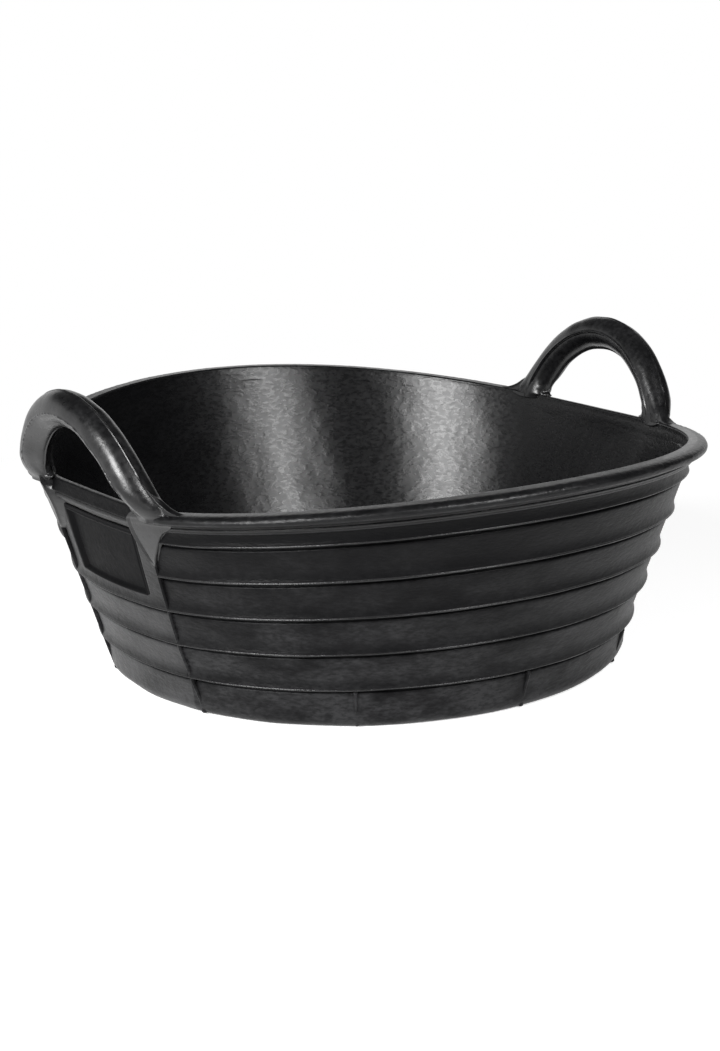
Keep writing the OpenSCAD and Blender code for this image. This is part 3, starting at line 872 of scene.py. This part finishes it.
class FEEDTUB_OT_gussets(bpy.types.Operator):
    """Makes the four gussets under the grip feet and the laps of the feet inside"""

    bl_idname = "feed_tub.gussets"
    bl_label = "Gussets and laps"

    def execute(self, context):
        w, _, _ = settings()
        for name, turn, side in CORNERS:
            for kind, sheets in (("gusset", self.web(w, turn, side)), ("lap", self.tongue(w, turn, side))):
                add_piece(f"{name}_{kind}", [pillow(*sheets)], ["handled"])
        return {"FINISHED"}

    def beside(self, w, turn, side, a, out, z):
        """Points beside one grip, at angles in degrees from it, distances in mm out from the wall line,
        and heights in mm."""
        return place(w, wall_line(w, z * MM) + out * MM, z * MM, turn + side * np.radians(a))

    def web(self, w, turn, side):
        """A web from its tip on the seam up under the grip's foot: straight lines lead from a ridge into
        the end wall on one side and to its edge on the side wall on the other. A bead runs along the ridge
        with a groove beside it, and the edge on the side wall is rounded."""
        z = np.linspace(*WEB_Z, 113)
        ridge, crest, flank, edge, edge_out = (
            np.interp(z, *table) for table in (WEB_RIDGE, WEB_CREST, WEB_FLANK, WEB_EDGE, WEB_EDGE_OUT)
        )
        near = self.beside(w, turn, side, ridge - flank, -FLANK_IN, z)[:, None]
        top = self.beside(w, turn, side, ridge, crest, z)[:, None]
        far = self.beside(w, turn, side, edge, edge_out, z)[:, None]
        u = np.linspace(-1, 1, 121)[None, :, None]
        points = top + np.where(u < 0, top - near, far - top) * u
        d = u * np.linalg.norm(np.where(u < 0, near - top, far - top), axis=-1)[..., None]
        strong = (step(z, 123, 128) * step(z, 174, 166))[:, None, None]
        bead = 0.8 * bell(d, 0, 1.1 * MM) - 0.5 * bell(d, 2.6 * MM, 0.7 * MM)
        left = np.where(u > 0, np.linalg.norm(far - points, axis=-1)[..., None] / MM, 9)
        left = np.minimum(left, (z - z[0])[:, None, None] * 1.2)
        fall = WEB_FALL * (1 - np.sqrt(1 - np.clip(1 - left / WEB_ROUND, 0, 1) ** 2))
        away = polar(1, 0, turn + side * math.radians(WEB_WAY))
        u = u[..., 0]
        span = 0.8 * np.where(u < 0, flank[:, None], (edge - ridge)[:, None]) * u
        back = self.beside(w, turn, side, BACK_MIDDLE + span, -BACK_IN, z[:, None])
        return points + (strong * bead - fall) * MM * away, back

    def tongue(self, w, turn, side):
        """The foot's lap over the rim's inner edge: a sheet with a rounded end, up to 2.5 mm proud of the
        wall's inside and thinner towards its sides."""
        u = np.linspace(-1, 1, 81)[None]
        low = TONGUE_SIDE - TONGUE_L * np.sqrt(np.clip(1 - u**2, 0, 1))
        z = low + (TONGUE_TOP - low) * np.linspace(0, 1, 41)[:, None]
        a = TONGUE_A + TONGUE_W * u
        edge = np.minimum(z - low, (1 - np.abs(u)) * 14)
        round_off = np.sqrt(1 - np.clip(1 - edge / 1.4, 0, 1) ** 2) * np.sqrt(1 - 0.8 * u**2)
        out = TONGUE_OUT - TONGUE_T * round_off
        return self.beside(w, turn, side, a, out, z), self.beside(w, turn, side, a, -BACK_IN, z)


# Heights of the plate in mm and half its width in degrees; its distance out and its hidden back's in mm
PLATE_Z, PLATE_A, PLATE_OUT, PLATE_BACK = (94, 147.5), 13.5, -2.5, -8
# Heights and half width of the field, and its depth in mm
FIELD_Z, FIELD_A, FIELD_DEEP = (95, 143.6), 12.4, 3
# Widths in mm of the field's sloping sides: left, right, below and above
SLOPES = (4, 1.6, 3.6, 2.4)
# Radius in mm at which a degree's width is measured
WIDTH_R = 232


class FEEDTUB_OT_panels(bpy.types.Operator):
    """Makes the two bare panels on the end walls"""

    bl_idname = "feed_tub.panels"
    bl_label = "Panels"

    def execute(self, context):
        w, _, _ = settings()
        for name, turn in ENDS:
            add_piece(f"{name}_panel", [pillow(*self.plate(w, turn))], ["matt"])
        return {"FINISHED"}

    def plate(self, w, turn):
        """A plate flush with the end wall, with a thin raised frame line and inside it a sunk field whose
        sides slope, gently below and on the left, steeply on the right."""
        low, high = PLATE_Z
        z = np.linspace(low, high, 161)[:, None]
        a = np.linspace(-PLATE_A, PLATE_A, 241)[None]
        degree = math.radians(1) * WIDTH_R
        sides = (a + FIELD_A) * degree, (FIELD_A - a) * degree, z - FIELD_Z[0], FIELD_Z[1] - z
        inside = np.minimum.reduce(np.broadcast_arrays(*(d / slope for d, slope in zip(sides, SLOPES))))
        edge = np.minimum.reduce(np.broadcast_arrays((PLATE_A - np.abs(a)) * degree, z - low, high - z))
        line = 0.5 * bell(inside, -0.25, 0.35)
        out = PLATE_OUT + line - FIELD_DEEP * step(inside, 0, 1) - 0.6 * step(edge, 0.6, 0)
        r = wall_line(w, z * MM)
        return [place(w, r + d * MM, z * MM, turn + np.radians(a)) for d in (out, PLATE_BACK)]


# Heights in mm of a fin's start and of a seam ridge's end, which lies under the gusset
FIN_LOW, SEAM_TOP = 1.2, 124
# A seam ridge's angle from the grip in degrees by height in mm
SEAM_ANGLES = (0, 12, 28, 54, 124), (19.7, 19.7, 19, 18.1, 18)
# Half widths of the seam ridges and ribs, and how far a seam ridge's crest stands out from the wall line
SEAM_W, RIB_W, SEAM_OUT = 1.5 * MM, 1.4 * MM, 0.2 * MM
# A fin's depth as a share of its half width, and the height and length of the nub at its foot
FIN_SHARE, NUB_OUT, NUB_L = 1.7, 1.4 * MM, 2.4 * MM


class FEEDTUB_OT_ridges(bpy.types.Operator):
    """Makes the seam ridges under the gussets and the base ribs"""

    bl_idname = "feed_tub.ridges"
    bl_label = "Seam ridges and base ribs"

    def execute(self, context):
        w, _, _ = settings()
        z = np.linspace(FIN_LOW, SEAM_TOP, 180) * MM
        off = np.radians(np.interp(z / MM, *SEAM_ANGLES))
        seams = [self.fin(w, turn + side * off, z, SEAM_OUT, SEAM_W) for _, turn, side in CORNERS]
        add_piece("seam_ridges", seams, ["satin"])
        z = np.linspace(FIN_LOW, w.first_lap / MM - 0.5, 60) * MM
        at = [side * (w.seam + k * w.rib_step) for k in (1, 2, 3) for side in (1, -1)]
        ribs = [self.fin(w, a + 0 * z, z, 0, RIB_W) for a in at]
        add_piece("base_ribs", ribs, ["satin"])
        return {"FINISHED"}

    def fin(self, w, a, z, out, half_w):
        """A half-round fin up the wall at angles a and heights z: its crest keeps the same distance out
        from the wall line, follows the rounded base, and ends in a nub at the ground."""
        turn = np.arcsin(np.clip(z / w.base_round - 1, -1, 0))
        base = w.base_r + w.base_round * np.cos(turn) + 0.9 * MM
        line = wall_line(w, z) + out
        crest = np.where(z < w.base_round, np.minimum(base, line), line) + NUB_OUT * bell(z, z[0], NUB_L)
        phi = np.linspace(0, math.pi, 17)
        taper = np.sqrt(np.clip((z[-1] - z) / (2 * MM), 0.02, 1))[:, None]
        r = crest[:, None] - half_w * FIN_SHARE * (1 - np.sin(phi) * taper)
        sideways = half_w * np.cos(phi) / r
        front = place(w, r, z[:, None], a[:, None] + sideways)
        back = place(w, r[:, :1] - 3 * MM, z[:, None], a[:, None] + sideways)
        return pillow(front, back)


# Each softbox: azimuth from the front and elevation in degrees, width, height and power
LAMPS = {"Right softbox": (0, 31, 0.8, 1.0, 10), "Left softbox": (-77, 24, 0.9, 1.1, 18)}
# The lamps' distance, the point they are aimed at, and the spread of their light
LAMP_FAR, LAMP_AIM, LAMP_SPREAD = 2.6, Vector((0, 0, 0.12)), math.radians(75)
# The floor's radius, the distances between which it turns into the lit sweep, and its own glow near the
# tub
FLOOR_R, SWEEP, NEAR_GLOW = 80, (0.32, 0.8), 0.55
# The backdrop: its direction, the shares of it and of the height at which it starts and ends, and the dim
# rest
BACKDROP, BACKDROP_SIDE, BACKDROP_TOP, DIM = (-0.17, 0.98, 0), (0.2, 0.5), (0.24, 0.42), 0.05
# The camera: turn, rise and roll in degrees, its aim and distance, focal length by picture height, and
# sensor
CAMERA_ANGLES = (33.45, 14.29, 1.78)
CAMERA_AIM, CAMERA_FAR, FOCAL_SHARE, SENSOR = Vector((-1.96, 1.29, 94.5)) * MM, 1.7039, 2234 / 1051, 36


class FEEDTUB_OT_stage(bpy.types.Operator):
    """Makes the floor, the lamps, the surroundings and the camera"""

    bl_idname = "feed_tub.stage"
    bl_label = "Stage"

    def execute(self, context):
        self.floor()
        for name, values in LAMPS.items():
            self.lamp(name, *values)
        self.surroundings()
        self.camera(context)
        context.scene.view_settings.view_transform = "Standard"
        return {"FINISHED"}

    def floor(self):
        """A white floor disc: matt and lit by the lamps round the tub, so that it takes the shadow, and of
        the white of a lit sweep further off."""
        _, _, f = settings()
        angles = np.linspace(0, FULL_TURN, 65)[:-1]
        rim = polar(FLOOR_R, 0, angles)
        mesh = bpy.data.meshes.new("studio_floor")
        mesh.from_pydata(rim.tolist(), [], [list(range(len(rim)))])
        finish = bpy.data.materials.new("White studio floor")
        tree = bare_tree(finish)
        ray = add_node(tree, "LightPath").outputs
        seen = 0.0
        for kind in ("Is Camera Ray", "Is Glossy Ray", "Is Transmission Ray"):
            seen = add_node(tree, "Math", {0: ray[kind], 1: seen}, operation="ADD", use_clamp=True)
        glow = add_node(tree, "Math", {0: seen, 1: NEAR_GLOW}, operation="MULTIPLY")
        low, white = (
            add_node(tree, "Emission", {"Color": (1, 1, 1, 1), "Strength": strength})
            for strength in (glow, seen)
        )
        matt = add_node(tree, "BsdfDiffuse", {"Color": (*f.floor, 1)})
        near = add_node(tree, "AddShader", {0: matt, 1: low})
        here = add_node(tree, "TexCoord").outputs["Object"]
        away = add_node(tree, "VectorMath", {0: here}, operation="LENGTH")
        start, end = SWEEP
        far = add_node(
            tree, "MapRange", {"Value": away, "From Min": start, "From Max": end},
            interpolation_type="SMOOTHSTEP",
        )
        both = add_node(tree, "MixShader", {"Fac": far, 1: near, 2: white})
        add_node(tree, "OutputMaterial", {"Surface": both})
        mesh.materials.append(finish)
        floor = add_object("studio_floor", mesh)

    def lamp(self, name, azimuth, elevation, wide, tall, power):
        """A softbox aimed at the tub; azimuth 0 is in front of it, and grows towards its right grip."""
        a, e = math.radians(azimuth), math.radians(elevation)
        way = Vector((math.sin(a) * math.cos(e), -math.cos(a) * math.cos(e), math.sin(e)))
        data = bpy.data.lights.new(name, "AREA")
        data.shape, data.size, data.size_y, data.energy = "RECTANGLE", wide, tall, power
        data.spread = LAMP_SPREAD
        lamp = add_object(name, data)
        lamp.location = LAMP_AIM + way * LAMP_FAR
        lamp.rotation_mode = "QUATERNION"
        lamp.rotation_quaternion = way.to_track_quat("Z", "Y")

    def surroundings(self):
        """A dim studio with a white backdrop behind the tub and to its left, about as high as a person."""
        world = bpy.data.worlds.new("Dim studio")
        tree = bare_tree(world)
        way = add_node(tree, "TexCoord").outputs["Generated"]
        high = add_node(tree, "SeparateXYZ", {0: way}).outputs["Z"]
        back = add_node(tree, "VectorMath", {0: way, 1: BACKDROP}, operation="DOT_PRODUCT")
        wide, tall = (
            add_node(
                tree, "MapRange",
                {"Value": value, "From Min": start, "From Max": end, "To Min": first, "To Max": 1 - first},
                interpolation_type="SMOOTHSTEP",
            )
            for value, (start, end), first in ((back, BACKDROP_SIDE, 0.0), (high, BACKDROP_TOP, 1.0))
        )
        lit = add_node(tree, "Math", {0: wide, 1: tall}, operation="MULTIPLY")
        dim, white = (DIM, DIM, DIM, 1), (1, 1, 1, 1)
        tint = add_node(tree, "Mix", {"Factor": lit, "A": dim, "B": white}, data_type="RGBA")
        sky = add_node(tree, "Background", {"Color": tint, "Strength": 1.0})
        add_node(tree, "OutputWorld", {"Surface": sky})
        bpy.context.scene.world = world

    def camera(self, context):
        """The photograph's view: from the front left, a little above, with a slight roll."""
        turn, rise, roll = (math.radians(x) for x in CAMERA_ANGLES)
        spin = Matrix.Rotation(-turn, 4, "Z") @ Matrix.Rotation(math.pi / 2 - rise, 4, "X")
        spin = spin @ Matrix.Rotation(-roll, 4, "Z")
        data = bpy.data.cameras.new("Camera")
        data.sensor_width, data.lens = SENSOR, FOCAL_SHARE * SENSOR
        camera = add_object("Camera", data)
        camera.matrix_world = Matrix.Translation(CAMERA_AIM) @ spin @ Matrix.Translation((0, 0, CAMERA_FAR))
        context.scene.camera = camera


class FEEDTUB_PT_panel(bpy.types.Panel):
    """Lists the tub's settings and the steps that build it"""

    bl_idname = "FEEDTUB_PT_panel"
    bl_label = "Feed tub"
    bl_space_type = "VIEW_3D"
    bl_region_type = "UI"
    bl_category = "Feed tub"

    def draw(self, context):
        for group in settings():
            box = self.layout.box()
            for key in type(group).__annotations__:
                box.prop(group, key)
        for operator in OPERATORS:
            self.layout.operator(operator.bl_idname)


GROUPS = {"feed_tub_wall": FeedTubWall, "feed_tub_grip": FeedTubGrip, "feed_tub_finish": FeedTubFinish}
OPERATORS = (
    FEEDTUB_OT_walls,
    FEEDTUB_OT_rim,
    FEEDTUB_OT_grips,
    FEEDTUB_OT_gussets,
    FEEDTUB_OT_panels,
    FEEDTUB_OT_ridges,
    FEEDTUB_OT_stage,
)
CLASSES = (*GROUPS.values(), *OPERATORS, FEEDTUB_PT_panel)


def register():
    """Registers the settings, the steps and the panel."""
    for kind in CLASSES:
        bpy.utils.register_class(kind)
    for name, group in GROUPS.items():
        setattr(bpy.types.Scene, name, PointerProperty(type=group))


def unregister():
    """Takes back what register did."""
    for name in GROUPS:
        delattr(bpy.types.Scene, name)
    for kind in reversed(CLASSES):
        bpy.utils.unregister_class(kind)


def main():
    """Builds the dressed tub and its stage."""
    register()
    bpy.ops.feed_tub.walls()
    bpy.ops.feed_tub.rim()
    bpy.ops.feed_tub.grips()
    bpy.ops.feed_tub.gussets()
    bpy.ops.feed_tub.panels()
    bpy.ops.feed_tub.ridges()
    bpy.ops.feed_tub.stage()


if __name__ == "__main__":
    main()
